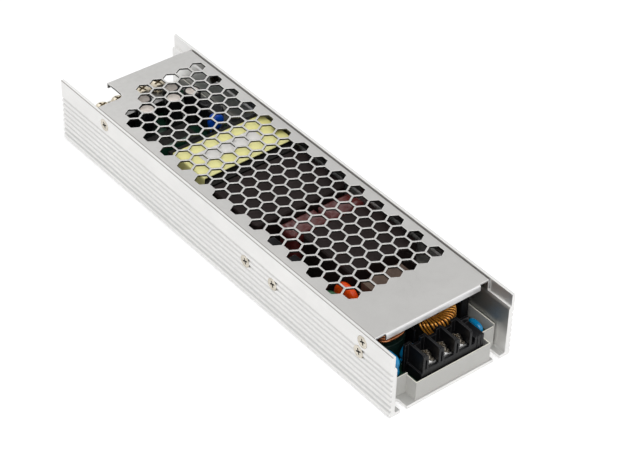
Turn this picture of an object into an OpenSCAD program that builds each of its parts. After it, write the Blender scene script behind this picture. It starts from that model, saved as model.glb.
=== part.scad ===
// Slim enclosed switching power supply, built the way it comes apart on a bench.
// Millimetres, +Z up. The origin is the middle of the underside and the input terminals face -Y.

/* [Case] */
// Length of the extruded channel
case_length = 226; // [220:1:240]
// Width over both walls
case_width = 62; // [62:1:70]
// Height of the walls
case_height = 31; // [31:0.5:40]
// Thickness of the floor
floor_t = 1.5; // [1:0.1:2]
// Thickness of the walls below the cover ledge
wall_t = 2.5; // [2:0.1:2.8]
// Thickness of the walls above the cover ledge
rim_t = 1.4; // [1:0.1:1.6]
// Depth of the cover ledge below the wall tops
ledge_drop = 6.1; // [5.5:0.1:6.5]
// Number of grooves along the outside of each wall
groove_count = 8; // [0:1:8]
// Spacing of the grooves
groove_pitch = 2.65; // [2:0.05:2.7]
// Height of the lowest groove
groove_first = 3; // [2:0.1:4]
// Depth of the grooves
groove_depth = 0.6; // [0.2:0.1:0.9]
// Distance of the mounting slots from the middle
slot_x = 24; // [23.5:0.1:25]
// Width of the mounting slots
slot_w = 3.6; // [3:0.1:4]
// Depth of the mounting slots from each end
slot_depth = 6; // [4:0.5:6]

/* [Cover] */
// Sheet thickness
cover_t = 0.8; // [0.6:0.1:1.2]
// Depth of the sheet below the wall tops
cover_drop = 0.5; // [0:0.1:1]
// Distance of the front bend from the middle
cover_front = 100; // [95:0.5:102]
// Distance of the rear bend from the middle
cover_rear = 99.5; // [95:0.5:102]
// Height of the lips that turn down at both ends
lip_h = 2.7; // [2:0.1:5]
// Half width of the lips
lip_half = 24; // [18:0.5:26]
// Distance between facing holes of the honeycomb
hex_pitch = 7.15; // [6:0.05:8]
// Size of the holes across flats
hex_size = 6.35; // [4:0.05:6.5]
// Place of the hole nearest the rear right corner, across the case
hex_x = 23.5; // [20:0.1:24]
// Place of the same hole along the case
hex_y = 86.65; // [80:0.05:87]
// Number of hole rows along the case
hex_columns = 27; // [1:1:27]
// Number of holes in each row
hex_rows = 7; // [1:1:7]
// Inner edge of the rear corner cut-out, from the middle
cut_x = 15.4; // [10:0.1:20]
// Front edge of the rear corner cut-out, from the middle
cut_y = 87; // [86:0.5:92]

/* [Tray and board] */
// Sheet thickness of the insulating tray
tray_t = 0.5; // [0.4:0.1:1.2]
// Height of the tray walls above the base
tray_top = 11.2; // [9:0.1:11.2]
// Height of the tray walls where both ends reach out
tray_end_top = 10.3; // [9:0.1:11.2]
// Height of the tray wall on the right side
tray_side_top = 12.6; // [9:0.1:14]
// Height of the board above the base
board_z = 5.5; // [4:0.1:6]
// Thickness of the board
board_t = 1.6; // [1:0.1:2]

/* [Input terminals] */
// Distance between terminals
term_pitch = 7.9; // [7.62:0.01:8.5]
// Number of terminals
term_count = 3; // [2:1:3]
// Left face of the terminal block
term_x = -13.6; // [-15:0.1:-12]
// Thickness of the barriers
barrier_t = 1.05; // [0.8:0.05:1.6]

/* [Chokes] */
// Turns on each half of the line choke
line_turns = 15; // [6:1:15]
// Wire of the line choke
line_wire = 0.9; // [0.5:0.1:1]
// Turns on the input choke
input_turns = 5; // [2:1:5]
// Wire of the input choke
input_wire = 1.3; // [0.8:0.1:1.3]

/* [Hidden] */
$fn = 48;

half_x = case_width / 2;
half_y = case_length / 2;
inner_x = half_x - wall_t;
rim_x = half_x - rim_t;
ledge_z = case_height - ledge_drop;
cover_z = case_height - cover_drop;
cover_x = rim_x - 0.08;
top_z = board_z + board_t;

// Screws through the walls, as distance along the case and height
cover_screw_y = [79.5, -95];
cover_screw_z = 26.2;
spreader_screw_y = [-21, -39];
spreader_screw_z = 17;
bridge_screw = [-93, 20];
head_r = 2.8;
head_h = 1.3;
shank_r = 1.5;
hole_r = shank_r + 0.03;

// Tray outline: the middle of each end reaches further out, clear of the mounting slots
tray_x = 27.95;
tray_setback = 106.5;
tray_end = 112.3;
tray_front = [-17.5, 20.8];
tray_rear = [-20.5, 20.5];
standoff_at = [[-24, -70], [24, -75.2], [-24, 2], [-24, 62], [24, 62], [24, 88]];

// Terminal block, seen from the front end
term_rear = -101;
term_front = -111.3;
term_top = 21.6;
term_right = 17.6;
term_seat = 13.5;
cell_shift = 0.8;
cells = [for (i = [0 : term_count - 1]) term_x + (i + 0.5) * term_pitch + cell_shift];

line_choke_at = [7.6, -88.3];
input_choke_at = [-13.6, -86.2];
filter_choke_at = [3, -70];
choke_seat = 2.2;

// Shared shapes

function arc(x, y, r, a0, a1, n = 5) = [for (i = [0 : n]) [x + r * cos(a0 + (a1 - a0) * i / n),
                                                           y + r * sin(a0 + (a1 - a0) * i / n)]];

function rounded(w, h, r) = concat(
  arc(w / 2 - r, -h / 2 + r, r, -90, 0),
  arc(w / 2 - r, h / 2 - r, r, 0, 90),
  arc(-w / 2 + r, h / 2 - r, r, 90, 180),
  arc(-w / 2 + r, -h / 2 + r, r, 180, 270));

function flip(p) = [for (i = [len(p) - 1 : -1 : 0]) [-p[i][0], p[i][1]]];

// Draws a profile of X and Z and runs it along Y
module along_y(length) {
  rotate([90, 0, 0]) linear_extrude(height = length, center = true) children();
}

// Draws a profile of Y and Z and runs it along X
module along_x(length) {
  rotate([90, 0, 90]) linear_extrude(height = length, center = true) children();
}

module quarter_ring(r, t) {
  intersection() {
    difference() {
      circle(r);
      circle(r - t);
    }
    square(r + 1);
  }
}

// Box standing on z = 0 with rounded upright edges and a bevelled top
module soft_box(x, y, z, r = 0.8, bevel = 0.6) {
  intersection() {
    linear_extrude(height = z) polygon(rounded(x, y, r));
    along_y(2 * y) polygon(bevelled(x, z, bevel));
    along_x(2 * x) polygon(bevelled(y, z, bevel));
  }
}

function bevelled(w, h, b) = [[-w / 2, 0], [w / 2, 0], [w / 2, h - b], [w / 2 - b, h],
                              [-w / 2 + b, h], [-w / 2, h - b]];

// Dipped body, rounded like a pillow in both upright directions
module pillow(x, y, z, r) {
  translate([0, 0, z / 2]) intersection() {
    along_y(2 * y) polygon(rounded(x, z, r));
    along_x(2 * x) polygon(rounded(y, z, r));
    linear_extrude(height = 2 * z, center = true) polygon(rounded(x, y, r));
  }
}

// Dipped disc facing -Y on two leads, with its lowest point at height z
module disc_part(d, t, z, lead_gap, lead_d = 0.8) {
  rim = t * 0.42;
  translate([0, 0, z + d / 2]) rotate([90, 0, 0]) rotate_extrude()
    polygon(concat([[0, -t / 2]], arc(d / 2 - rim, -t / 2 + rim, rim, -90, 0),
                   arc(d / 2 - rim, t / 2 - rim, rim, 0, 90), [[0, t / 2]]));
  for (s = [-1, 1])
    translate([s * lead_gap / 2, 0, top_z]) cylinder(d = lead_d, h = z + d * 0.3 - top_z);
}

module cross_recess(l, w, d) {
  for (a = [20, 110])
    rotate([0, 0, a]) translate([-l / 2, -w / 2, -d]) cube([l, w, d + 1]);
}

// Flush screw with its face at z = 0, pointing down
module countersunk_screw(length) {
  difference() {
    union() {
      translate([0, 0, -head_h]) cylinder(r1 = shank_r, r2 = head_r, h = head_h);
      translate([0, 0, -length]) cylinder(r = shank_r, h = length - head_h + 0.1);
    }
    cross_recess(3, 0.7, 0.8);
  }
}

// Domed screw with the underside of its head at z = 0, pointing down
module pan_screw(head_d, head_t, d, length) {
  difference() {
    union() {
      rotate_extrude() polygon(concat([[0, 0]], [[head_d / 2, 0]], [[head_d / 2, head_t * 0.45]],
        [[head_d * 0.44, head_t * 0.75]], [[head_d * 0.32, head_t * 0.95]], [[head_d * 0.2, head_t]],
        [[0, head_t]]));
      translate([0, 0, -length]) cylinder(d = d, h = length + 0.1);
    }
    translate([0, 0, head_t]) cross_recess(head_d * 0.6, head_d * 0.14, head_t * 0.5);
  }
}

// Puts its children at a wall, pointing outwards
module at_wall(side, y, z) {
  translate([side * half_x, y, z]) rotate([0, side * 90, 0]) children();
}

// Case

function groove(z) = [[half_x, z - 0.75], [half_x - groove_depth, z - 0.35],
                      [half_x - groove_depth, z + 0.35], [half_x, z + 0.75]];

function case_side() = concat(
  [[half_x - 0.5, 0], [half_x, 0.5]],
  [for (i = [0 : groove_count - 1]) each groove(groove_first + i * groove_pitch)],
  [[half_x, case_height - 0.3], [half_x - 0.3, case_height], [rim_x, case_height], [rim_x, ledge_z],
   [inner_x + 0.5, ledge_z], [inner_x, ledge_z - 1.1], [inner_x, floor_t + 0.5], [inner_x - 0.5, floor_t]]);

module countersunk_hole(side, y, z) {
  at_wall(side, y, z) {
    translate([0, 0, -head_h - 0.1]) cylinder(r1 = shank_r + 0.1, r2 = head_r + 0.2, h = head_h + 0.2);
    translate([0, 0, -wall_t - 1]) cylinder(r = shank_r + 0.1, h = wall_t + 1);
  }
}

module case_body() {
  color("gainsboro") difference() {
    along_y(case_length) polygon(concat(case_side(), flip(case_side())));
    for (sx = [-1, 1], sy = [-1, 1])
      translate([sx * slot_x, sy * (half_y - slot_depth + slot_w / 2), 0]) {
        cylinder(d = slot_w, h = 3 * floor_t, center = true);
        translate([0, sy * slot_depth / 2, 0]) cube([slot_w, slot_depth, 3 * floor_t], center = true);
      }
    for (side = [-1, 1], y = cover_screw_y)
      countersunk_hole(side, y, cover_screw_z);
    for (y = spreader_screw_y)
      countersunk_hole(-1, y, spreader_screw_z);
    countersunk_hole(-1, bridge_screw[0], bridge_screw[1]);
  }
}

// Cover

bend_r = 0.9;
lip_r = 0.9;
cover_length = cover_front + cover_rear;

module honeycomb() {
  for (i = [0 : hex_columns - 1], j = [0 : hex_rows - 1])
    if (i > 1 || j < hex_rows - 2)
      translate([hex_x - hex_pitch * (j + (i % 2) / 2), hex_y - i * hex_pitch * cos(30), cover_z - 2])
        rotate([0, 0, 30]) cylinder(d = hex_size / cos(30), h = 3, $fn = 6);
}

// Lip at the -Y end, between two distances from the middle
module cover_lip(x0, x1) {
  translate([(x0 + x1) / 2, 0, cover_z - lip_r]) along_x(x1 - x0) mirror([1, 0]) quarter_ring(lip_r, cover_t);
  translate([x0, -lip_r, cover_z - lip_h]) cube([x1 - x0, cover_t, lip_h - lip_r]);
}

module rear_cut() {
  size_y = cover_rear - cut_y + 4;
  difference() {
    translate([-half_x, cut_y, ledge_z - 1]) cube([half_x - cut_x, size_y, 10]);
    translate([-cut_x - 3, cut_y, ledge_z - 2]) difference() {
      translate([0, -1, 0]) cube([4, 4, 12]);
      translate([0, 3, -1]) cylinder(r = 3, h = 14);
    }
  }
}

module top_cover() {
  color("silver") difference() {
    union() {
      difference() {
        translate([-cover_x + bend_r, -cover_front, cover_z - cover_t])
          cube([2 * (cover_x - bend_r), cover_length, cover_t]);
        honeycomb();
      }
      for (s = [0, 1]) mirror([s, 0, 0]) translate([0, (cover_rear - cover_front) / 2, 0]) {
        translate([cover_x - bend_r, 0, cover_z - bend_r]) along_y(cover_length)
          quarter_ring(bend_r, cover_t);
        translate([cover_x - cover_t, -cover_length / 2, ledge_z])
          cube([cover_t, cover_length, cover_z - bend_r - ledge_z]);
      }
      translate([0, -cover_front, 0]) cover_lip(-lip_half, lip_half);
      translate([0, cover_rear, 0]) mirror([0, 1, 0]) cover_lip(-cut_x, lip_half);
    }
    rear_cut();
    for (side = [-1, 1], y = cover_screw_y)
      at_wall(side, y, cover_screw_z) translate([0, 0, -6]) cylinder(r = hole_r, h = 6);
  }
}

module cover_screws() {
  color("wheat") for (side = [-1, 1], y = cover_screw_y)
    at_wall(side, y, cover_screw_z) countersunk_screw(5);
}

// Tray and board

function board_outline(d) = [
  [-tray_x + d, -tray_setback + d], [tray_front[0] + d, -tray_setback + d],
  [tray_front[0] + d, -tray_end + d], [tray_front[1] - d, -tray_end + d],
  [tray_front[1] - d, -tray_setback + d], [tray_x - d, -tray_setback + d],
  [tray_x - d, tray_setback - d], [tray_rear[1] - d, tray_setback - d],
  [tray_rear[1] - d, tray_end - d], [tray_rear[0] + d, tray_end - d],
  [tray_rear[0] + d, tray_setback - d], [-tray_x + d, tray_setback - d]];

module insulating_tray() {
  color("whitesmoke") difference() {
    union() {
      translate([0, 0, floor_t]) linear_extrude(height = tray_end_top - floor_t) polygon(board_outline(0));
      translate([-tray_x, -tray_setback, floor_t])
        cube([2 * tray_x, 2 * tray_setback, tray_top - floor_t]);
      translate([tray_x - tray_t, -tray_setback, floor_t])
        cube([tray_t, 2 * tray_setback, tray_side_top - floor_t]);
    }
    translate([0, 0, floor_t + tray_t]) linear_extrude(height = tray_side_top)
      polygon(board_outline(tray_t));
    for (p = standoff_at)
      translate([p[0], p[1], floor_t - 1]) cylinder(d = 7, h = tray_t + 2);
  }
}

module circuit_board() {
  color("darkgreen") difference() {
    translate([0, 0, board_z]) linear_extrude(height = board_t) polygon(board_outline(tray_t + 0.4));
    for (p = standoff_at)
      translate([p[0], p[1], board_z - 1]) cylinder(r = shank_r + 0.1, h = board_t + 2);
  }
}

module board_standoffs() {
  color("goldenrod") for (p = standoff_at)
    translate([p[0], p[1], floor_t]) difference() {
      rotate([0, 0, 30]) cylinder(d = 5.5 / cos(30), h = board_z - floor_t, $fn = 6);
      translate([0, 0, 0.5]) cylinder(r = hole_r, h = board_z);
    }
}

module board_screws() {
  color("silver") for (p = standoff_at)
    translate([p[0], p[1], top_z]) pan_screw(5.4, 2, 2 * shank_r, 4.5);
}

// Input terminals

function barrier() = concat(
  [[term_front, top_z], [term_rear, top_z]],
  arc(term_rear - 0.8, term_top - 0.8, 0.8, 0, 90),
  arc(term_front + 1.2, term_top - 1.5, 1.2, 90, 180));

term_screw_y = (term_front + term_rear) / 2 - 0.5;
term_plate_t = 0.8;

// Rounded cap at the front of a barrier on a thin post, with a slot behind the post
module wire_guide() {
  translate([1.35, 1.2, 19.5]) along_y(2.4) polygon(rounded(2.7, 1.6, 0.6));
  translate([1.9, 0, term_seat - 1]) cube([0.8, 1, 20 - term_seat]);
}

module terminal_block() {
  depth = term_rear - term_front;
  color("dimgray") difference() {
    union() {
      translate([term_x, term_front, top_z]) cube([term_right - term_x, depth, term_seat - top_z]);
      translate([term_x - 0.6, term_front, top_z]) cube([1, depth - 1.4, 5]);
      translate([term_x, term_rear - 1.2, top_z]) cube([term_right - term_x, 1.2, 18.6 - top_z]);
      for (i = [0 : term_count]) translate([term_x + i * term_pitch, 0, 0]) {
        translate([barrier_t / 2, 0, 0]) along_x(barrier_t) polygon(barrier());
        translate([-1.7, term_rear - 1.3, top_z]) cube([1.8, 1.3, 21 - top_z]);
      }
      for (i = [0 : term_count - 1])
        translate([term_x + i * term_pitch, term_front, 0]) wire_guide();
      translate([term_right - 4.6, term_front, top_z]) cube([4.6, depth, 16.4 - top_z]);
    }
    for (x = cells)
      translate([x, term_screw_y, top_z + 1]) cylinder(r = 1.83, h = 10);
    for (x = [term_right - 3.6, term_right - 1.8])
      translate([x, term_front - 1, top_z + 1]) cube([0.5, 1.5, 12]);
  }
}

// Clamp plate of each terminal, with a round tongue bent up at the front
module terminal_plates() {
  color("lightgray") for (x = cells) difference() {
    union() {
      translate([x - 2.9, term_front + 1.1, term_seat]) cube([5.8, 7.4, term_plate_t]);
      translate([x, term_front + 1.5, 0]) along_y(term_plate_t) {
        translate([-1, term_seat]) square([2, 1]);
        translate([0, term_seat + 1]) circle(1);
      }
    }
    translate([x, term_screw_y, term_seat - 1]) cylinder(r = 1.83, h = 3);
  }
}

module terminal_screws() {
  color("tan") for (x = cells)
    translate([x, term_screw_y, term_seat + term_plate_t]) {
      difference() {
        translate([-2.5, -2.5, 0]) cube([5, 5, 0.8]);
        translate([0, 0, -1]) cylinder(r = 1.7, h = 3);
      }
      translate([0, 0, 0.8]) pan_screw(5.2, 2.4, 3.6, 5.5);
    }
}

// Chokes

module toroid_core(ro, ri, h) {
  difference() {
    cylinder(r = ro, h = h);
    translate([0, 0, -1]) cylinder(r = ri, h = h + 2);
  }
}

// One turn of flat-sided wire round the section of a toroid
module toroid_turn(ro, ri, h, w) {
  b = w * 0.7;
  x0 = sqrt(ri * ri - w * w / 4) - 0.02;
  along_y(w) difference() {
    polygon([[ri - w + b, -w], [ro + w - b, -w], [ro + w, b - w], [ro + w, h + w - b], [ro + w - b, h + w],
             [ri - w + b, h + w], [ri - w, h + w - b], [ri - w, b - w]]);
    translate([x0, -0.02]) square([ro + 0.02 - x0, h + 0.04]);
  }
}

line_core = [11.1, 6.3, 9.2];

module line_choke_core() {
  color("darkslategray") translate([line_choke_at[0], line_choke_at[1], top_z + choke_seat + line_wire])
    toroid_core(line_core[0], line_core[1], line_core[2]);
}

module line_choke_winding() {
  step = 152 / (line_turns - 1);
  color("goldenrod") translate([line_choke_at[0], line_choke_at[1], top_z + choke_seat + line_wire])
    for (side = [0, 180], i = [0 : line_turns - 1])
      rotate([0, 0, side + 14 + i * step])
        toroid_turn(line_core[0], line_core[1], line_core[2], line_wire);
}

input_choke_size = [16, 18];
input_coil_z = 16.5;
input_coil_h = input_turns * (input_wire + 0.04);

// Wound former with rounded sides: a deep foot, a post and a thin top flange
module input_choke_core() {
  w = input_choke_size;
  color("darkslategray") translate([input_choke_at[0], input_choke_at[1], 0]) {
    translate([0, 0, top_z]) linear_extrude(height = input_coil_z - top_z)
      polygon(rounded(w[0] + 0.4, w[1] + 0.4, 6.8));
    translate([0, 0, input_coil_z - 1]) linear_extrude(height = input_coil_h + 2)
      polygon(rounded(w[0] - 5.1, w[1] - 5.1, 4.4));
    translate([0, 0, input_coil_z + input_coil_h]) linear_extrude(height = 1)
      polygon(rounded(w[0] - 1, w[1] - 1, 6.5));
  }
}

module input_choke_winding() {
  w = input_choke_size;
  color("chocolate") for (i = [0 : input_turns - 1])
    translate([input_choke_at[0], input_choke_at[1], input_coil_z + i * (input_wire + 0.04)])
      linear_extrude(height = input_wire) difference() {
        polygon(rounded(w[0], w[1], 6.6));
        polygon(rounded(w[0] - 5, w[1] - 5, 4.4));
      }
}

filter_core = [20, 9.4, 16.9];
filter_limb = 4;

// Upright ferrite frame with a winding round each leg
module filter_choke_core() {
  color("saddlebrown") translate([filter_choke_at[0], filter_choke_at[1], top_z + filter_core[2] / 2])
    along_y(filter_core[1]) difference() {
      square([filter_core[0], filter_core[2]], center = true);
      square([filter_core[0] - 2 * filter_limb, filter_core[2] - 2 * filter_limb], center = true);
    }
}

module filter_choke_windings() {
  turn_t = 1;
  leg_x = (filter_core[0] - filter_limb) / 2;
  color("peru") translate([filter_choke_at[0], filter_choke_at[1], top_z + filter_core[2] / 2])
    for (s = [-1, 1], i = [-3 : 3])
      translate([s * leg_x, 0, i * 1.2 - turn_t / 2]) linear_extrude(height = turn_t) difference() {
        polygon(rounded(filter_limb + 2.4, filter_core[1] + 2.4, 1.2));
        square([filter_limb + 0.04, filter_core[1] + 0.04], center = true);
      }
}

// Round seat of the line choke, and the insulating plate between it and the input choke
module line_choke_base() {
  color("dimgray") {
    translate([line_choke_at[0], line_choke_at[1], top_z]) difference() {
      cylinder(r = line_core[0] - 0.5, h = choke_seat);
      translate([0, 0, 1]) cylinder(r = line_core[0] - 2.4, h = choke_seat);
    }
    translate([-6.4, -97.3, top_z]) cube([0.8, 4.8, 13.4]);
  }
}

// Filter and input parts

// Flat dipped part on two leads, with its lowest point at height z
module dipped_part(x, y, h, z, lead_gap) {
  translate([0, 0, z]) pillow(x, y, h, x * 0.45);
  for (s = [-1, 1])
    translate([0, s * lead_gap / 2, top_z]) cylinder(d = 0.8, h = z + h * 0.3 - top_z);
}

module y_capacitors() {
  color("dodgerblue") {
    translate([-20.3, -100.6, 0]) dipped_part(3.2, 8.4, 10.6, 8, 5);
    translate([-10.2, -98.5, 0]) disc_part(7.4, 3.4, 9, 5);
    translate([22.6, -101.2, 0]) dipped_part(2.8, 8, 5, 7.9, 5);
  }
}

module x_capacitor() {
  color("black") translate([22.1, -86.6, top_z]) soft_box(4.6, 17, 15);
}

module varistor() {
  color("orangered") translate([-12, -63, 0]) rotate([0, 0, 90]) disc_part(14, 4.6, 9.2, 7.5, 1);
}

module thermistor() {
  color("darkgreen") translate([-17.2, -60.4, 0]) rotate([0, 0, 90]) disc_part(11, 4.2, 9, 7.5, 1);
}

module fuse() {
  color("saddlebrown") translate([23, -68.4, top_z]) soft_box(7.8, 4.2, 8);
}

// Parts cooled by the left wall

bridge_size = [3.4, 18, 13];
bridge_z = 11.3;
pad_t = 0.4;

module bridge_rectifier() {
  color("black") translate([-inner_x + pad_t, bridge_screw[0], bridge_z]) difference() {
    union() {
      translate([bridge_size[0] / 2, 0, 0])
        soft_box(bridge_size[0], bridge_size[1], bridge_size[2], 0.4, 0.8);
      for (i = [-1.5 : 1.5])
        translate([bridge_size[0] - 1.6, i * 3.9 - 0.5, top_z - bridge_z])
          cube([0.8, 1, bridge_z - top_z + 1]);
    }
    translate([-1, 0, bridge_screw[1] - bridge_z]) rotate([0, 90, 0]) cylinder(r = shank_r + 0.1, h = 6);
  }
}

module bridge_nut() {
  color("silver") translate([-inner_x + pad_t + bridge_size[0], bridge_screw[0], bridge_screw[1]])
    rotate([0, 90, 0]) difference() {
      cylinder(d = 5.5 / cos(30), h = 1.8, $fn = 6);
      translate([0, 0, -1]) cylinder(r = hole_r, h = 5);
    }
}

spreader_size = [4.6, 40, 13.2];
spreader_y = -30;
spreader_z = 11.3;

module heat_spreader() {
  color("lightgray") difference() {
    translate([-inner_x + pad_t, spreader_y - spreader_size[1] / 2, spreader_z]) cube(spreader_size);
    for (y = spreader_screw_y)
      translate([-inner_x, y, spreader_screw_z]) rotate([0, 90, 0]) cylinder(r = hole_r, h = 4.4);
  }
}

module thermal_pads() {
  color("lightsteelblue") difference() {
    union() {
      translate([-inner_x, spreader_y - spreader_size[1] / 2, spreader_z])
        cube([pad_t, spreader_size[1], spreader_size[2]]);
      translate([-inner_x, bridge_screw[0] - bridge_size[1] / 2, bridge_z])
        cube([pad_t, bridge_size[1], bridge_size[2]]);
    }
    for (p = [bridge_screw, for (y = spreader_screw_y) [y, spreader_screw_z]])
      translate([-half_x, p[0], p[1]]) rotate([0, 90, 0]) cylinder(r = shank_r + 0.1, h = 6);
  }
}

module clamp_screws() {
  color("wheat") {
    for (y = spreader_screw_y)
      at_wall(-1, y, spreader_screw_z) countersunk_screw(6);
    at_wall(-1, bridge_screw[0], bridge_screw[1]) countersunk_screw(8);
  }
}

transistor_y = [-41, -27];
transistor_size = [4.5, 10, 14.4];
transistor_x = -inner_x + pad_t + spreader_size[0];

module power_transistors() {
  color("black") for (y = transistor_y) translate([transistor_x, y, 0]) {
    translate([transistor_size[0] / 2, 0, 9.6])
      soft_box(transistor_size[0], transistor_size[1], transistor_size[2], 0.4, 0.5);
    for (i = [-1 : 1])
      translate([2.4, i * 2.54 - 0.4, top_z]) cube([0.6, 0.8, 4]);
  }
}

// Bent spring strip that hooks on the spreader and presses each transistor
module transistor_clips() {
  x0 = transistor_x - 3.4;
  x1 = transistor_x + transistor_size[0];
  z1 = spreader_z + spreader_size[2];
  color("silver") for (y = transistor_y) translate([0, y, 0]) along_y(7)
    polygon([[x0, z1], [x0, z1 + 0.7], [x1 + 0.7, z1 + 0.7], [x1 + 0.7, 18], [x1 + 1.6, 16.6], [x1 + 1, 16.2],
             [x1, 17.8], [x1, z1]]);
}

// Energy storage

module link_capacitor() {
  color("dimgray") translate([8.8, -45.5, top_z]) soft_box(35.4, 31, 18.9, 1.6, 0.6);
}

module film_capacitors() {
  color("maroon") for (x = [-2.6, 17]) translate([x, -23, 0]) {
    translate([0, 0, top_z + 1]) pillow(19, 10.4, 17.4, 3);
    for (s = [-1, 1])
      translate([s * 7.5, 0, top_z]) cylinder(d = 0.9, h = 4);
  }
}

module boost_choke() {
  color("dimgray") translate([2.8, 1.2, top_z]) soft_box(47.4, 32.4, 18.9, 2.2, 0.6);
}

// Transformer: two facing E halves round a wound former, belted with tape

core_x = [-19.8, 26.9];
core_y = [17.9, 47.9];
core_z = [11, 26];
core_middle = [(core_x[0] + core_x[1]) / 2, (core_y[0] + core_y[1]) / 2, (core_z[0] + core_z[1]) / 2];
core_yoke = 6;
core_leg = 5;
core_mid = 12;

// Front half, with its legs reaching back to the middle
module core_half() {
  w = core_x[1] - core_x[0];
  l = (core_y[1] - core_y[0]) / 2;
  translate([core_x[0], core_y[0], core_z[0]]) linear_extrude(height = core_z[1] - core_z[0])
    polygon([[0, 0], [w, 0], [w, l], [w - core_leg, l], [w - core_leg, core_yoke],
             [(w + core_mid) / 2, core_yoke], [(w + core_mid) / 2, l], [(w - core_mid) / 2, l],
             [(w - core_mid) / 2, core_yoke], [core_leg, core_yoke], [core_leg, l], [0, l]]);
}

module transformer_core_front() {
  color("dimgray") core_half();
}

module transformer_core_rear() {
  color("dimgray") translate([0, core_y[0] + core_y[1], 0]) mirror([0, 1, 0]) core_half();
}

module transformer_winding() {
  length = core_y[1] - core_y[0] - 2 * core_yoke - 0.2;
  color("khaki") translate(core_middle) difference() {
    along_y(length) polygon(rounded(32, core_z[1] - core_z[0] + 2.6, 2));
    along_y(length + 2) square([core_mid + 0.1, core_z[1] - core_z[0] + 0.1], center = true);
  }
}

// Pin rails of the former, under the two yokes
module transformer_rails() {
  color("dimgray") for (y = [core_y[0] + 1.7, core_y[1] - 1.7])
    translate([core_middle[0] - 17, y - 1.4, top_z]) cube([34, 2.8, core_z[0] - top_z]);
}

module transformer_tape() {
  w = core_x[1] - core_x[0] + 0.1;
  h = core_z[1] - core_z[0] + 2.7;
  color("khaki") translate(core_middle)
    along_y(22.4) difference() {
      polygon(rounded(w + 0.7, h + 0.7, 0.8));
      polygon(rounded(w, h, 0.6));
    }
}

// Output side

module control_board() {
  color("seagreen") translate([-25, 53, top_z]) cube([19, 1.2, 17]);
}

module control_chips() {
  color("black") {
    translate([-22.5, 52, 15]) cube([6, 1, 4.4]);
    translate([-13.8, 52.2, 16.5]) cube([3.4, 0.8, 3]);
    translate([-21, 54.2, 13]) cube([8, 1.4, 5]);
  }
}

module safety_capacitor() {
  color("mediumblue") translate([13.8, 60, 0]) disc_part(7.5, 4.2, 16.75, 5);
}

module output_choke() {
  color("black") difference() {
    translate([-8, 63.5, top_z]) soft_box(24, 13, 11.5, 1, 0.8);
    translate([-8, 63.5, top_z + 11]) cylinder(d = 1.4, h = 2);
  }
}

can_at = [[-7.5, 81.4], [6.8, 81.5], [16.5, 81.1], [-4.6, 88.7], [10.3, 88.6]];

module output_capacitors() {
  r = 3.9;
  color("lightgray") for (p = can_at)
    translate([p[0], p[1], top_z]) rotate_extrude()
      polygon([[0, 0], [r, 0], [r, 1.6], [r - 0.4, 2], [r - 0.4, 2.4], [r, 2.8], [r, 16.3], [r - 0.4, 16.9],
               [r - 0.9, 16.9], [r - 1.1, 16.5], [0, 16.5]]);
}

bar_x = [[-21, -4.6], [0.1, 16.5]];
bar_y = [92.6, 105.4];
output_x = [-17.2, -8.8, 3.9, 12.3];
output_y = 101.6;
base_x = [-22.6, 18];
base_y = [94.6, 105];
base_z = 13.7;
bar_t = 1.5;

module output_base() {
  depth = base_y[1] - base_y[0];
  color("dimgray") difference() {
    union() {
      translate([base_x[0], base_y[0], top_z]) cube([base_x[1] - base_x[0], depth, base_z - top_z]);
      translate([-3.4, base_y[0], top_z]) cube([2.4, depth, 17.2 - top_z]);
      for (x = [base_x[0], base_x[1] - 1.2])
        translate([x, base_y[0], top_z]) cube([1.2, depth, 15.8 - top_z]);
    }
    for (x = output_x)
      translate([x, output_y, top_z + 1]) cylinder(r = 2.03, h = 10);
  }
}

module output_bars() {
  color("lightgray") for (b = bar_x) difference() {
    union() {
      translate([b[0], bar_y[0], base_z]) cube([b[1] - b[0], bar_y[1] - bar_y[0], bar_t]);
      for (x = [b[0] + 2, b[1] - 5])
        translate([x, bar_y[0], top_z]) cube([3, bar_t, base_z - top_z]);
    }
    for (x = output_x)
      translate([x, output_y, base_z - 1]) cylinder(r = 2.03, h = 4);
  }
}

module output_screws() {
  color("goldenrod") for (x = output_x) translate([x, output_y, base_z + bar_t]) {
    difference() {
      cylinder(r = 4, h = 0.8);
      translate([0, 0, -1]) cylinder(r = 2.1, h = 3);
    }
    translate([0, 0, 0.8]) pan_screw(7.2, 2.7, 4, 6.6);
  }
}

case_body();
top_cover();
insulating_tray();
circuit_board();
board_standoffs();
board_screws();
cover_screws();
clamp_screws();
bridge_nut();
terminal_block();
terminal_plates();
terminal_screws();
line_choke_base();
line_choke_core();
line_choke_winding();
input_choke_core();
input_choke_winding();
filter_choke_core();
filter_choke_windings();
y_capacitors();
x_capacitor();
varistor();
thermistor();
fuse();
bridge_rectifier();
thermal_pads();
heat_spreader();
power_transistors();
transistor_clips();
link_capacitor();
film_capacitors();
boost_choke();
transformer_core_front();
transformer_core_rear();
transformer_winding();
transformer_tape();
transformer_rails();
control_board();
control_chips();
safety_capacitor();
output_choke();
output_capacitors();
output_base();
output_bars();
output_screws();
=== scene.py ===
# %% [markdown]
# # Dressing a slim switching power supply
# The solids of the part arrive as one fixed frame: a grooved aluminium channel, a honeycomb cover and
# the electronics under it. This lesson gives every solid a finish, swaps a few solids for finer surfaces
# worked out with numpy, and sets a plain studio round the result.

# %% Load the frame
import math

import bmesh
import bpy
import numpy as np
from mathutils import Matrix, Vector


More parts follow.
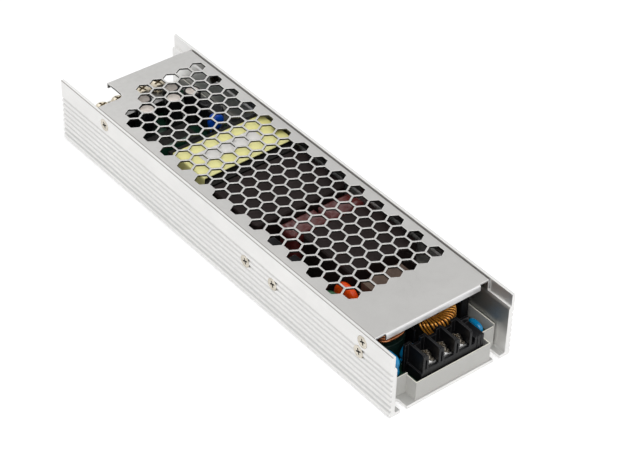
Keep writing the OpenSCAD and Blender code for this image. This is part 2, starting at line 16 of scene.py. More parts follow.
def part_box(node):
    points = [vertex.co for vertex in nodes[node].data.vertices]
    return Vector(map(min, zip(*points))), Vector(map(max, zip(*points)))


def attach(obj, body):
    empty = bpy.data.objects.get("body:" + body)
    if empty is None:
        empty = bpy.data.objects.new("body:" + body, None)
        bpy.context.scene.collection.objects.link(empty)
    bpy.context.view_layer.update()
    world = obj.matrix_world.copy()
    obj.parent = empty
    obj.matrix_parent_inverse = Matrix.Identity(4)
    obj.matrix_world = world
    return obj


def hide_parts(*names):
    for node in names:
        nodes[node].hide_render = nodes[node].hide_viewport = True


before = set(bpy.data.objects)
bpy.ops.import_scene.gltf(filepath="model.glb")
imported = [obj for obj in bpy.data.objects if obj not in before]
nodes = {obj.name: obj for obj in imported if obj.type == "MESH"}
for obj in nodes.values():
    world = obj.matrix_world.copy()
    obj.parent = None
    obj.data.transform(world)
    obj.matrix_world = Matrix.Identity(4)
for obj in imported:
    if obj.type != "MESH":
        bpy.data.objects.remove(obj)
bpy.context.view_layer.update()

MM = 0.001

# %% [markdown]
# ## Camera
# The picture was taken with a long lens from the front left, a little above the part. The direction is
# given as azimuth, elevation and a small roll, and the three axes of the camera are worked out from
# them, because a matrix can be checked by eye where a chain of rotations can't.

# %% Camera
IMAGE_W = 640
FOCAL_PX = 2093.736
SENSOR_MM = 36
CAMERA_AT = (-423.029, -540.989, 555.908)
CAMERA_AZ, CAMERA_EL, CAMERA_ROLL = (math.radians(v) for v in (-39.646, 38.772, 1.838))


def add_object(name, data):
    """Makes an object for a mesh, a lamp or a camera and puts it into the scene."""
    made = bpy.data.objects.new(name, data)
    bpy.context.scene.collection.objects.link(made)
    return made


def camera_axes(az, el, roll):
    """Right, up and back: back points from the part to the camera, and roll turns right towards up."""
    back = Vector((math.sin(az) * math.cos(el), -math.cos(az) * math.cos(el), math.sin(el)))
    level = Vector((0, 0, 1)).cross(back).normalized()
    top = back.cross(level)
    right = level * math.cos(roll) + top * math.sin(roll)
    return right, back.cross(right), back


lens = bpy.data.cameras.new("photo_camera")
lens.sensor_width = SENSOR_MM
lens.sensor_fit = "HORIZONTAL"
lens.lens = FOCAL_PX / IMAGE_W * SENSOR_MM
lens.clip_start, lens.clip_end = 0.01, 20
camera = add_object("photo_camera", lens)
turned = Matrix(camera_axes(CAMERA_AZ, CAMERA_EL, CAMERA_ROLL)).transposed().to_4x4()
camera.matrix_world = Matrix.Translation(Vector(CAMERA_AT) * MM) @ turned
bpy.context.scene.camera = camera
bpy.context.scene.view_settings.view_transform = "Standard"
print("lens:", round(lens.lens, 1), "mm")

# %% [markdown]
# ## White sweep
# A catalogue picture like this one is shot on a white sweep. A big bent sheet of mesh would do, but it
# would also throw its light on the part. Here the world is white to the camera and to reflections and a
# calmer grey to everything else, so that metal has something bright to mirror while colours keep their
# own level.

# %% World
WORLD_FILL = 0.48


def math_node(tree, operation, a, b=None, clamp=False):
    """One Math node; a and b are numbers or sockets."""
    step = tree.nodes.new("ShaderNodeMath")
    step.operation = operation
    step.use_clamp = clamp
    for i, value in enumerate(v for v in (a, b) if v is not None):
        if isinstance(value, (int, float)):
            step.inputs[i].default_value = value
        else:
            tree.links.new(value, step.inputs[i])
    return step.outputs[0]


def fit(tree, mask, low, high):
    """Stretches a mask from 0..1 to low..high."""
    span = tree.nodes.new("ShaderNodeMapRange")
    span.inputs["To Min"].default_value = low
    span.inputs["To Max"].default_value = high
    tree.links.new(mask, span.inputs["Value"])
    return span.outputs[0]


def white_to_eyes(tree):
    """A mask that is 1 for rays that show the background: camera, mirror and glass rays."""
    path = tree.nodes.new("ShaderNodeLightPath").outputs
    seen = math_node(tree, "MAXIMUM", path["Is Camera Ray"], path["Is Glossy Ray"])
    return math_node(tree, "MAXIMUM", seen, path["Is Transmission Ray"])


world = bpy.data.worlds.new("white_sweep")
bpy.context.scene.world = world
world.use_nodes = True
sky = world.node_tree
backdrop = sky.nodes["Background"].inputs
backdrop["Color"].default_value = (1, 1, 1, 1)
sky.links.new(fit(sky, white_to_eyes(sky), WORLD_FILL, 1.0), backdrop["Strength"])
print("world:", world.name, "fill:", WORLD_FILL)

# %% [markdown]
# ## Floor
# The part stands on white paper. The floor is a real surface, because only that keeps the soft shadow
# under the case. It glows a little, but only to the camera and in reflections, which lifts it to the white
# of the world without lighting the part.

# %% Floor
FLOOR_HALF = 3.0
FLOOR_DROP = 0.0001
FLOOR_TONE = 0.86
FLOOR_ROUGHNESS = 0.9
FLOOR_GLOW = 0.26
floor_corners = [(x * FLOOR_HALF, y * FLOOR_HALF, 0) for x, y in ((-1, -1), (1, -1), (1, 1), (-1, 1))]
floor_mesh = bpy.data.meshes.new("floor")
floor_mesh.from_pydata(floor_corners, [], [(0, 1, 2, 3)])
floor = add_object("floor", floor_mesh)
floor.location.z = -FLOOR_DROP
paper = bpy.data.materials.new("white_paper")
paper.use_nodes = True
sheet = paper.node_tree
sheet_inputs = sheet.nodes["Principled BSDF"].inputs
sheet_inputs["Base Color"].default_value = (FLOOR_TONE, FLOOR_TONE, FLOOR_TONE, 1)
sheet_inputs["Roughness"].default_value = FLOOR_ROUGHNESS
sheet_inputs["Specular IOR Level"].default_value = 0.0
sheet_inputs["Emission Color"].default_value = (1, 1, 1, 1)
glow = math_node(sheet, "MULTIPLY", white_to_eyes(sheet), FLOOR_GLOW)
sheet.links.new(glow, sheet_inputs["Emission Strength"])
floor_mesh.materials.append(paper)
print("floor:", 2 * FLOOR_HALF, "m square")

# %% [markdown]
# ## Soft boxes
# Four square lamps stand round the part and face its middle. Big lamps close by give soft shadows and wide
# bright bands on the metal, as the boxes of a studio do. The key stands at the camera's side, and the
# others are weaker, so that the walls of the case differ in tone.

# %% Soft boxes
BOX_SIZE = 0.9
AIM = Vector((0, 0, 0.015))
# Name, place in metres and power in watts.
SOFT_BOXES = [
    ("key_box", (-0.55, -0.75, 1.15), 6.0),
    ("fill_box", (0.95, -0.35, 0.9), 2.0),
    ("rear_box", (0.2, 1.1, 1.0), 2.0),
    ("top_box", (0.0, -0.1, 1.2), 3.4),
]
for name, place, power in SOFT_BOXES:
    lamp = bpy.data.lights.new(name, "AREA")
    lamp.shape = "SQUARE"
    lamp.size = BOX_SIZE
    lamp.energy = power
    holder = add_object(name, lamp)
    holder.location = place
    holder.rotation_euler = (AIM - Vector(place)).to_track_quat("-Z", "Y").to_euler()
print("soft boxes:", len(SOFT_BOXES), "watts:", sum(box[-1] for box in SOFT_BOXES))

# %% [markdown]
# ## Shared shader groups
# Three effects return on almost every finish, so each is a node group with named sockets: softened edges,
# cloudy tone and fine grain. The last two are the same noise with other settings, so one function makes
# both. The groups only put out masks and normals, and the shader itself stays in each material.


# %% Softened edges
def new_group(name, inputs, outputs):
    """An empty shader group. Inputs are (name, default) pairs, outputs are (name, socket type) pairs."""
    group = bpy.data.node_groups.new(name, "ShaderNodeTree")
    for label, default in inputs:
        kind = "NodeSocketVector" if isinstance(default, tuple) else "NodeSocketFloat"
        socket = group.interface.new_socket(label, in_out="INPUT", socket_type=kind)
        socket.default_value = default
    for label, kind in outputs:
        group.interface.new_socket(label, in_out="OUTPUT", socket_type=kind)
    return group, group.nodes.new("NodeGroupInput"), group.nodes.new("NodeGroupOutput")


def make_soft_edges(samples):
    """Normal of a small rounding, and a mask of how far that normal leans from the flat face."""
    group, inside, out = new_group("soft_edges", [("Radius", 0.0003), ("Spread", 3.0)],
                                   [("Normal", "NodeSocketVector"), ("Edge", "NodeSocketFloat")])
    bevel = group.nodes.new("ShaderNodeBevel")
    bevel.samples = samples
    flat = group.nodes.new("ShaderNodeNewGeometry")
    lean = group.nodes.new("ShaderNodeVectorMath")
    lean.operation = "DOT_PRODUCT"
    group.links.new(inside.outputs["Radius"], bevel.inputs["Radius"])
    group.links.new(bevel.outputs[0], lean.inputs[0])
    group.links.new(flat.outputs["Normal"], lean.inputs[1])
    away = math_node(group, "SUBTRACT", 1.0, lean.outputs["Value"])
    edge = math_node(group, "MULTIPLY", away, inside.outputs["Spread"], clamp=True)
    group.links.new(bevel.outputs[0], out.inputs["Normal"])
    group.links.new(edge, out.inputs["Edge"])
    return group


SOFT_EDGES = make_soft_edges(samples=6)
print("group:", SOFT_EDGES.name)


# %% Clouds and grain
def object_coords(tree):
    """Object coordinates in metres."""
    return tree.nodes.new("ShaderNodeTexCoord").outputs["Object"]


def make_noise_group(name, detail, roughness):
    """Noise of object coordinates times Scale, stretched so that Low becomes 0 and High becomes 1."""
    group, inside, out = new_group(name, [("Scale", (100.0, 100.0, 100.0)), ("Low", 0.3), ("High", 0.7)],
                                   [("Mask", "NodeSocketFloat")])
    scaled = group.nodes.new("ShaderNodeVectorMath")
    scaled.operation = "MULTIPLY"
    noise = group.nodes.new("ShaderNodeTexNoise")
    for label, value in (("Scale", 1.0), ("Detail", detail), ("Roughness", roughness)):
        noise.inputs[label].default_value = value
    span = group.nodes.new("ShaderNodeMapRange")
    group.links.new(object_coords(group), scaled.inputs[0])
    group.links.new(inside.outputs["Scale"], scaled.inputs[1])
    group.links.new(scaled.outputs[0], noise.inputs["Vector"])
    group.links.new(noise.outputs["Fac"], span.inputs["Value"])
    group.links.new(inside.outputs["Low"], span.inputs["From Min"])
    group.links.new(inside.outputs["High"], span.inputs["From Max"])
    group.links.new(span.outputs[0], out.inputs["Mask"])
    return group


CLOUDS = make_noise_group("clouds", detail=4.0, roughness=0.55)
GRAIN = make_noise_group("grain", detail=2.0, roughness=0.5)
print("groups:", CLOUDS.name, GRAIN.name)

# %% [markdown]
# ## One recipe for all finishes
# A finish here is two close tones blended by clouds, a roughness that wanders a little, a fine bump and
# rounded edges that catch the light. Those edges may take a lighter tone, which stands for rubbing on most
# finishes and is a painted highlight on some, and place masks add tints, most of them painted shade or
# painted light. Each material could be wired by hand, but one function makes every finish readable as a
# short list of values, and a change to the recipe reaches all of them.


# %% Finish recipe
COAT_ROUGHNESS = 0.12
# The Mix node keeps its colour sockets behind those for numbers and vectors.
MIX_A, MIX_B, MIX_RESULT = 6, 7, 2


def use(tree, group, **values):
    """Places a group in a material and sets its inputs by name."""
    placed = tree.nodes.new("ShaderNodeGroup")
    placed.node_tree = group
    for label, value in values.items():
        placed.inputs[label].default_value = value
    return placed.outputs


def blend(tree, mask, dark, light):
    """Mixes two colours by a mask; either colour may be a socket."""
    mix = tree.nodes.new("ShaderNodeMix")
    mix.data_type = "RGBA"
    tree.links.new(mask, mix.inputs[0])
    for slot, colour in ((MIX_A, dark), (MIX_B, light)):
        if isinstance(colour, tuple):
            mix.inputs[slot].default_value = (*colour, 1)
        else:
            tree.links.new(colour, mix.inputs[slot])
    return mix.outputs[MIX_RESULT]


def finish(name, dark, light, rough, metal=0.0, cloud=60.0, grain=(900.0, 900.0, 900.0), bump=0.02,
           edge=0.3, spread=3.0, edge_wear_and_highlight=0.3, edge_wear_and_highlight_tone=None, coat=0.0, specular=0.5, tints=()):
    """A material of two tones, wandering roughness, fine bump and rounded edges.

    Bump is the height of the grain and edge the radius of the rounding, both in mm. A tint is a pair: a
    function that makes a mask in the material, and the colour that it brings in.
    """
    material = bpy.data.materials.new(name)
    material.use_nodes = True
    tree = material.node_tree
    shader = tree.nodes["Principled BSDF"].inputs
    cloudy = use(tree, CLOUDS, Scale=(cloud,) * 3)["Mask"]
    fine = use(tree, GRAIN, Scale=grain)["Mask"]
    corners = use(tree, SOFT_EDGES, Radius=edge * MM, Spread=spread)
    colour = blend(tree, cloudy, dark, light)
    # The lighter edge tone stands for rubbing on most finishes and is a painted highlight on the cover and
    # the black nylon.
    if edge_wear_and_highlight_tone is not None:
        colour = blend(tree, math_node(tree, "MULTIPLY", corners["Edge"], edge_wear_and_highlight), colour, edge_wear_and_highlight_tone)
    # Tints tied to places, most of them painted shade or painted light.
    for mask, shade in tints:
        colour = blend(tree, mask(tree), colour, shade)
    relief = tree.nodes.new("ShaderNodeBump")
    relief.inputs["Strength"].default_value = 1.0
    relief.inputs["Distance"].default_value = bump * MM
    tree.links.new(fine, relief.inputs["Height"])
    tree.links.new(corners["Normal"], relief.inputs["Normal"])
    tree.links.new(colour, shader["Base Color"])
    tree.links.new(fit(tree, fine, *rough), shader["Roughness"])
    tree.links.new(relief.outputs[0], shader["Normal"])
    shader["Metallic"].default_value = metal
    shader["Specular IOR Level"].default_value = specular
    shader["Coat Weight"].default_value = coat
    shader["Coat Roughness"].default_value = COAT_ROUGHNESS
    return material


def dress(material, *names):
    """Gives a material to CAD nodes."""
    for node in names:
        mesh = nodes[node].data
        mesh.materials.clear()
        mesh.materials.append(material)
    print(material.name, "on", *names)


print("nodes to dress:", len(nodes))

# %% [markdown]
# ## Masks for places
# Some tones belong to a place, most of them painted shade or painted light: the groove bottoms, the walls of
# the punched holes or the recess of a screw. Painting them on the mesh would need more points than the solids
# have. A place can also be told by where a point lies and which way its face looks, so each mask is a product
# of soft steps of the object's own coordinates and normals.


# %% Masks for places
def ramp(tree, value, low, high):
    """A smooth step of a socket: 0 at low and 1 at high, also where high is the smaller number."""
    step = tree.nodes.new("ShaderNodeMapRange")
    step.interpolation_type = "SMOOTHSTEP"
    low, high, start, end = (low, high, 0.0, 1.0) if low < high else (high, low, 1.0, 0.0)
    for label, number in (("From Min", low), ("From Max", high), ("To Min", start), ("To Max", end)):
        step.inputs[label].default_value = number
    tree.links.new(value, step.inputs["Value"])
    return step.outputs[0]


def measure(tree, what, axis):
    """A number at each point of a surface.

    It is the coordinate along an axis (at), that coordinate's distance from the middle of the part (off), or
    how squarely the face looks along the axis, either way (facing).
    """
    facing = what == "facing"
    source = tree.nodes.new("ShaderNodeNewGeometry").outputs["Normal"] if facing else object_coords(tree)
    split = tree.nodes.new("ShaderNodeSeparateXYZ")
    tree.links.new(source, split.inputs[0])
    return split.outputs[axis] if what == "at" else math_node(tree, "ABSOLUTE", split.outputs[axis])


def place_mask(*steps):
    """A product of soft steps.

    A step says what is measured, along which axis, where the mask is 0 and where it is 1: in mm for a place,
    and from 0 to 1 for a facing.
    """
    def build(tree):
        mask = None
        for what, axis, low, high in steps:
            unit = 1.0 if what == "facing" else MM
            step = ramp(tree, measure(tree, what, axis), low * unit, high * unit)
            mask = step if mask is None else math_node(tree, "MULTIPLY", mask, step)
        return mask
    return build


def mm_box(node):
    """Lowest and highest corner of a CAD node in mm."""
    return (np.array(corner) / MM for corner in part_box(node))


for node in ("case_body", "top_cover"):
    print(node, "box in mm:", *(corner.round(2) for corner in mm_box(node)))

# %% [markdown]
# ## Case and cover
# The channel is bare extruded aluminium: the die leaves faint lines along its length, so its grain is
# stretched along Y. The groove bottoms get painted shade, the top faces of the walls are painted a little
# darker to tone down their bright reflection, a painted dark line of shade runs along the edges of the wall
# tops, and near the input end the inner faces get a painted dark reflection, as if they mirrored the dark
# terminals. The cover is a darker, more even sheet. The walls of its punched holes are painted dark as shade,
# its side bends get painted shade along the seam to the wall, its lips get painted light, as from the floor,
# and its lighter edges are a painted highlight.

# %% Case and cover
ALONG_CASE = (1500.0, 12.0, 1500.0)
# Painted shade in the groove bottoms of the walls.
painted_groove_shade = place_mask(("off", "X", 30.98, 30.5), ("off", "X", 30.0, 30.3), ("facing", "X", 0.15, 0.5))
# Painted shade that tones down the bright reflection on the top faces of the walls.
wall_top_painted_shade = place_mask(("facing", "Z", 0.8, 0.9), ("at", "Z", 30.4, 30.6))
# A painted dark line of shade along the edges of the wall tops, where the cover meets the wall.
wall_edge_painted_shade = place_mask(("facing", "Z", 0.5, 0.6), ("facing", "Z", 0.85, 0.75), ("at", "Z", 30.4, 30.6))
# A painted dark reflection on the inner faces near the input end, as of the dark terminals.
inner_wall_painted_reflection = place_mask(("off", "X", 29.1, 28.9), ("facing", "X", 0.6, 0.8), ("at", "Z", 9, 16),
                         ("at", "Y", -60, -90))
inner_floor = place_mask(("at", "Z", 6, 5), ("facing", "Z", 0.6, 0.8))
# Painted shade on the walls of the punched holes.
hole_wall_painted_shade = place_mask(("facing", "Z", 0.6, 0.3), ("at", "Z", 29.5, 29.65), ("off", "Y", 97.5, 96.5))
# Painted shade along the side bends of the cover, at the seam to the wall.
seam_painted_shade = place_mask(("off", "X", 28.6, 29.0))
# Painted light on the outer faces of the lips, as from the floor.
lip_painted_light = place_mask(("off", "Y", 99.5, 100.3), ("facing", "Y", 0.2, 0.7))
extrusion = finish(
    "extruded_aluminium", (0.78, 0.775, 0.765), (0.84, 0.833, 0.82), (0.4, 0.52), metal=0.9, cloud=35.0,
    grain=ALONG_CASE, bump=0.006, edge_wear_and_highlight=0.5, edge_wear_and_highlight_tone=(0.95, 0.95, 0.95),
    tints=[(painted_groove_shade, (0.71, 0.705, 0.695)), (wall_top_painted_shade, (0.66, 0.66, 0.65)),
           (wall_edge_painted_shade, (0.4, 0.385, 0.37)), (inner_wall_painted_reflection, (0.42, 0.42, 0.41)),
           (inner_floor, (0.66, 0.66, 0.65))])
# The lighter edge tone of the cover, spread wide round its holes, is a painted highlight.
cover_metal = finish(
    "cover_sheet_metal", (0.42, 0.415, 0.405), (0.47, 0.465, 0.455), (0.36, 0.5), metal=1.0, cloud=25.0,
    grain=(500.0, 500.0, 500.0), bump=0.004, edge=0.4, spread=9.0, edge_wear_and_highlight=1.0, edge_wear_and_highlight_tone=(0.85, 0.84, 0.82),
    tints=[(hole_wall_painted_shade, (0.1, 0.1, 0.097)), (seam_painted_shade, (0.26, 0.245, 0.235)),
           (lip_painted_light, (0.69, 0.69, 0.695))])
dress(extrusion, "case_body")
dress(cover_metal, "top_cover")

# %% [markdown]
# ## Screws, clips and contacts
# The small metal parts are plated: nickel with a warm tint on the screws, tin on the contacts, a blued skin
# on the spring clips. Each needs its own tone, but the plating is alike, so they share a set of values. The
# terminal screws and the output bars get darker copies of nickel and tin, which are painted shade. The wall
# screws sit flush, and what lies below their faces is the cross recess, which is painted dark as shade.

# %% Screws, clips and contacts
PLATED = dict(metal=1.0, cloud=300.0, bump=0.003, edge=0.2)
ROLLED = dict(metal=1.0, cloud=220.0, bump=0.004, edge=0.2, edge_wear_and_highlight=0.4)
# Painted shade in the cross recesses of the wall screws.
screw_recess_painted_shade = place_mask(("off", "X", 30.96, 30.8))
nickel = finish("nickel_plate", (0.5, 0.46, 0.39), (0.72, 0.67, 0.58), (0.2, 0.34), edge_wear_and_highlight=0.6,
                edge_wear_and_highlight_tone=(0.9, 0.86, 0.78), tints=[(screw_recess_painted_shade, (0.05, 0.04, 0.03))], **(PLATED | {"edge": 0.15}))
warm_nickel = finish("warm_nickel", (0.42, 0.37, 0.28), (0.66, 0.6, 0.49), (0.22, 0.38), edge_wear_and_highlight=0.5,
                     edge_wear_and_highlight_tone=(0.85, 0.76, 0.6), **PLATED)
# A darker copy of nickel: painted shade for the terminal screws, which sit deep in their cells.
nickel_painted_shade = finish("nickel_painted_shade", (0.22, 0.19, 0.15), (0.42, 0.37, 0.3), (0.24, 0.4), edge_wear_and_highlight=0.5,
                     edge_wear_and_highlight_tone=(0.8, 0.74, 0.64), **(PLATED | {"cloud": 600.0}))
brass = finish("plated_brass", (0.55, 0.38, 0.15), (0.78, 0.58, 0.27), (0.2, 0.36), edge_wear_and_highlight=0.5,
               edge_wear_and_highlight_tone=(0.9, 0.75, 0.45), **PLATED)
steel = finish("bright_screw_steel", (0.50, 0.50, 0.49), (0.66, 0.66, 0.65), (0.25, 0.4), edge_wear_and_highlight=0.6,
               edge_wear_and_highlight_tone=(0.85, 0.85, 0.85), **PLATED)
tin = finish("tinned_copper", (0.60, 0.60, 0.59), (0.78, 0.78, 0.77), (0.22, 0.4),
             edge_wear_and_highlight_tone=(0.9, 0.9, 0.9), **ROLLED)
# A darker copy of tin: painted shade for the output bars deep under the cover.
tin_painted_shade = finish("tin_painted_shade", (0.16, 0.16, 0.16), (0.28, 0.275, 0.27), (0.3, 0.46),
                  edge_wear_and_highlight_tone=(0.6, 0.6, 0.59), **ROLLED)
blued_steel = finish("blued_steel", (0.01, 0.01, 0.011), (0.022, 0.022, 0.024), (0.3, 0.42), metal=1.0,
                     cloud=200.0, bump=0.004, edge=0.2, edge_wear_and_highlight=0.7, edge_wear_and_highlight_tone=(0.5, 0.5, 0.5))
dress(nickel, "cover_screws", "clamp_screws")
dress(warm_nickel, "output_screws")
dress(nickel_painted_shade, "terminal_screws")
dress(brass, "board_standoffs")
dress(steel, "board_screws", "bridge_nut")
dress(tin, "terminal_plates")
dress(tin_painted_shade, "output_bars")
dress(blued_steel, "transistor_clips")

# %% [markdown]
# ## Aluminium under the cover
# The spreader along the left wall is sawn bar, so its grain is stretched along the saw's way. The cans of
# the output capacitors look soft and a little pink where their sleeves leave them bare. A pure metal would
# turn nearly black under the cover, so this finish is only part metal.

# %% Aluminium under the cover
bar_aluminium = finish("sawn_aluminium", (0.42, 0.42, 0.42), (0.54, 0.54, 0.54), (0.3, 0.45), metal=1.0,
                       grain=(1800.0, 60.0, 1800.0), bump=0.006, edge_wear_and_highlight=0.4, edge_wear_and_highlight_tone=(0.9, 0.9, 0.9))
can_metal = finish("capacitor_can", (0.8, 0.72, 0.66), (0.9, 0.83, 0.77), (0.3, 0.42), metal=0.6,
                   cloud=180.0, bump=0.003, edge=0.2, edge_wear_and_highlight=0.4, edge_wear_and_highlight_tone=(0.9, 0.87, 0.85))
dress(bar_aluminium, "heat_spreader")
dress(can_metal, "output_capacitors")

# %% [markdown]
# ## Tray, boards and mouldings
# The tray is thin translucent sheet whose cut upper edges carry a painted highlight, paler than its faces,
# which a mask of height and normal picks out. Round it most surfaces are dark: lacquered laminate, moulded
# nylon and pressed ferrite. They differ in gloss more than in colour, so each gets its own roughness. The
# light edges of the nylon stand partly for rubbing and are partly a painted highlight along the barrier tops.

# %% Tray, boards and mouldings
# A painted highlight on the upward faces of the tray's cut edges.
tray_edge_painted_highlight = place_mask(("facing", "Z", 0.6, 0.8), ("at", "Z", 8.2, 8.8))
tray_plastic = finish("tray_sheet", (0.54, 0.535, 0.51), (0.61, 0.605, 0.58), (0.5, 0.66), cloud=40.0,
                      bump=0.012, edge=0.2, edge_wear_and_highlight=0.35, edge_wear_and_highlight_tone=(0.8, 0.78, 0.68),
                      tints=[(tray_edge_painted_highlight, (0.9, 0.88, 0.78))])
laminate = finish("lacquered_laminate", (0.004, 0.03, 0.018), (0.012, 0.065, 0.036), (0.3, 0.5), cloud=160.0,
                  bump=0.015, edge=0.2, edge_wear_and_highlight=0.5, edge_wear_and_highlight_tone=(0.16, 0.18, 0.1), coat=0.3)
# Its light edge tone is partly rubbing and partly a painted highlight along the barrier tops.
black_moulding = finish("black_nylon", (0.003, 0.003, 0.0035), (0.006, 0.006, 0.007), (0.3, 0.44),
                        cloud=90.0, bump=0.012, edge=0.25, edge_wear_and_highlight=0.8, edge_wear_and_highlight_tone=(0.13, 0.13, 0.14), specular=0.2)
ferrite = finish("pressed_ferrite", (0.009, 0.0085, 0.008), (0.016, 0.015, 0.014), (0.5, 0.7), cloud=150.0,
                 bump=0.03, edge_wear_and_highlight=0.4, edge_wear_and_highlight_tone=(0.08, 0.076, 0.072), specular=0.14)
brown_ferrite = finish("brown_pressed_ferrite", (0.085, 0.055, 0.042), (0.14, 0.095, 0.07), (0.5, 0.7),
                       cloud=150.0, bump=0.03, edge_wear_and_highlight=0.3, edge_wear_and_highlight_tone=(0.24, 0.18, 0.14), specular=0.3)
green_core = finish("green_coated_core", (0.002, 0.01, 0.008), (0.004, 0.02, 0.014), (0.4, 0.55), cloud=150.0,
                    bump=0.02, edge=0.4, edge_wear_and_highlight=0.2, edge_wear_and_highlight_tone=(0.06, 0.13, 0.09))
dress(tray_plastic, "insulating_tray")
dress(laminate, "circuit_board", "control_board")
dress(black_moulding, "terminal_block", "line_choke_base", "transformer_rails", "output_base")
dress(ferrite, "line_choke_core", "transformer_core_front", "transformer_core_rear", "output_choke")
dress(brown_ferrite, "filter_choke_core")
dress(green_core, "input_choke_core")

# %% [markdown]
# ## Dips
# Small capacitors and discs are dipped in bright epoxy, which dries glossy and a little uneven. A clear
# coat over the colour gives the wet look. It stays thin on the deep blue and the orange, because a strong
# coat would wash their colour out under the bright world.

# %% Dips
DIP = dict(cloud=260.0, bump=0.012, edge=0.1)
light_blue = finish("light_blue_dip", (0.0, 0.21, 0.48), (0.0, 0.32, 0.64), (0.24, 0.38), coat=0.45, **DIP)
deep_blue = finish("deep_blue_dip", (0.0, 0.05, 0.42), (0.001, 0.1, 0.62), (0.24, 0.38), coat=0.12,
                   specular=0.3, **DIP)
orange_red = finish("orange_red_dip", (0.84, 0.05, 0.001), (0.98, 0.1, 0.003), (0.22, 0.34), coat=0.2,
                    specular=0.2, **DIP)
dark_green = finish("dark_green_dip", (0.02, 0.11, 0.04), (0.04, 0.17, 0.07), (0.28, 0.42), coat=0.35,
                    **DIP)
maroon = finish("maroon_dip", (0.08, 0.012, 0.012), (0.13, 0.022, 0.02), (0.26, 0.4), cloud=160.0, edge=0.4,
                coat=0.4)
dress(light_blue, "y_capacitors")
dress(deep_blue, "safety_capacitor")
dress(orange_red, "varistor")
dress(dark_green, "thermistor")
dress(maroon, "film_capacitors")

# %% [markdown]
# ## Cases and wraps
# Chips, boxes and the big capacitor have moulded cases that are duller than a dip, so they get little
# specular and no coat. The transformer is wrapped in yellow film tape. Its fine lines run across the part,
# which the grain shows by being much tighter along Y than across.

# %% Cases and wraps
black_epoxy = finish("black_epoxy_case", (0.003, 0.003, 0.0035), (0.006, 0.006, 0.0065), (0.42, 0.56),
                     cloud=200.0, bump=0.012, edge=0.2, edge_wear_and_highlight=0.4, edge_wear_and_highlight_tone=(0.06, 0.06, 0.065), specular=0.16)
brown_case = finish("brown_moulded_case", (0.06, 0.035, 0.02), (0.1, 0.06, 0.035), (0.4, 0.55), cloud=160.0,
                    bump=0.012, edge=0.2, edge_wear_and_highlight_tone=(0.2, 0.14, 0.09))
grey_case = finish("dark_grey_case", (0.013, 0.008, 0.0076), (0.0225, 0.0145, 0.0138), (0.45, 0.6),
                   cloud=90.0, edge_wear_and_highlight=0.4, edge_wear_and_highlight_tone=(0.08, 0.073, 0.07), specular=0.14)
pad = finish("thermal_pad", (0.4, 0.42, 0.44), (0.52, 0.54, 0.56), (0.6, 0.75), cloud=200.0)
tape = finish("yellow_film_tape", (0.88, 0.83, 0.3), (0.97, 0.93, 0.42), (0.28, 0.42), cloud=90.0,
              grain=(40.0, 2500.0, 40.0), bump=0.006, edge_wear_and_highlight_tone=(0.95, 0.92, 0.55), coat=0.3)
dress(black_epoxy, "x_capacitor", "bridge_rectifier", "power_transistors", "control_chips")
dress(brown_case, "fuse")
dress(grey_case, "link_capacitor", "boost_choke")
dress(pad, "thermal_pads")
dress(tape, "transformer_winding", "transformer_tape")

# %% [markdown]
# ## Wire, sleeve and paper
# Winding wire is copper under a clear or golden enamel, so it is part metal with a coat on top. Shrink
# sleeve and the paper of a label are only seen on pieces that this lesson makes itself.

# %% Wire, sleeve and paper
ENAMEL = dict(cloud=300.0, bump=0.003, edge=0.1, coat=0.5)
gold_enamel = finish("gold_enamel", (0.64, 0.24, 0.024), (0.95, 0.44, 0.066), (0.2, 0.3), metal=0.5,
                     **ENAMEL)
copper_enamel = finish("copper_enamel", (0.38, 0.12, 0.04), (0.58, 0.22, 0.08), (0.2, 0.32), metal=0.85,
                       **ENAMEL)
sleeve_film = finish("sleeve_film", (0.004, 0.004, 0.005), (0.008, 0.008, 0.01), (0.26, 0.38), cloud=120.0,
                     bump=0.006, edge=0.1, coat=0.15, specular=0.3)
label_paper = finish("label_paper", (0.8, 0.78, 0.76), (0.88, 0.86, 0.84), (0.5, 0.62), bump=0.008,
                     edge=0.1)
dress(gold_enamel, "line_choke_winding")
dress(copper_enamel, "input_choke_winding", "filter_choke_windings")
print("nodes without a finish:", [name for name, solid in nodes.items() if not solid.data.materials])

# %% [markdown]
# ## Surfaces from numbers
# A wound wire, a dipped capacitor or a can is awkward to model by hand and easy to describe: it is a grid
# of points whose place depends on two numbers. The helpers below turn such grids into closed meshes. Every
# point array is worked out at once by numpy, and a row of equal points closes a tip like a pole.


# %% Grids into meshes
MERGE_MM = 0.002
CORNER = math.radians(50)


def grid_faces(rows, columns):
    """Quads between neighbouring rows of a grid whose columns run round and join up."""
    row, column = np.meshgrid(np.arange(rows - 1), np.arange(columns), indexing="ij")
    after = (column + 1) % columns
    corners = [row * columns + column, row * columns + after, (row + 1) * columns + after,
               (row + 1) * columns + column]
    return np.stack(corners, axis=-1).reshape(-1, 4)


def make_piece(name, grids, material, slot, *stands_for):
    """One mesh from closed grids of points in mm: doubles merged, faces outwards, corners kept sharp."""
    faces, start = [], 0
    for grid in grids:
        faces.append(grid_faces(*grid.shape[:2]) + start)
        start += grid.shape[0] * grid.shape[1]
    points = np.concatenate([grid.reshape(-1, 3) for grid in grids]) * MM
    mesh = bpy.data.meshes.new(name)
    mesh.from_pydata(points.tolist(), [], np.concatenate(faces).tolist())
    shell = bmesh.new()
    shell.from_mesh(mesh)
    bmesh.ops.remove_doubles(shell, verts=shell.verts, dist=MERGE_MM * MM)
    bmesh.ops.recalc_face_normals(shell, faces=shell.faces)
    shell.to_mesh(mesh)
    shell.free()
    mesh.polygons.foreach_set("use_smooth", np.ones(len(mesh.polygons), dtype=bool))
    mesh.set_sharp_from_angle(angle=CORNER)
    mesh.materials.append(material)
    piece = add_object(name, mesh)
    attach(piece, "root")
    if stands_for:
        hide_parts(*stands_for)
    print(name, "faces:", len(mesh.polygons))


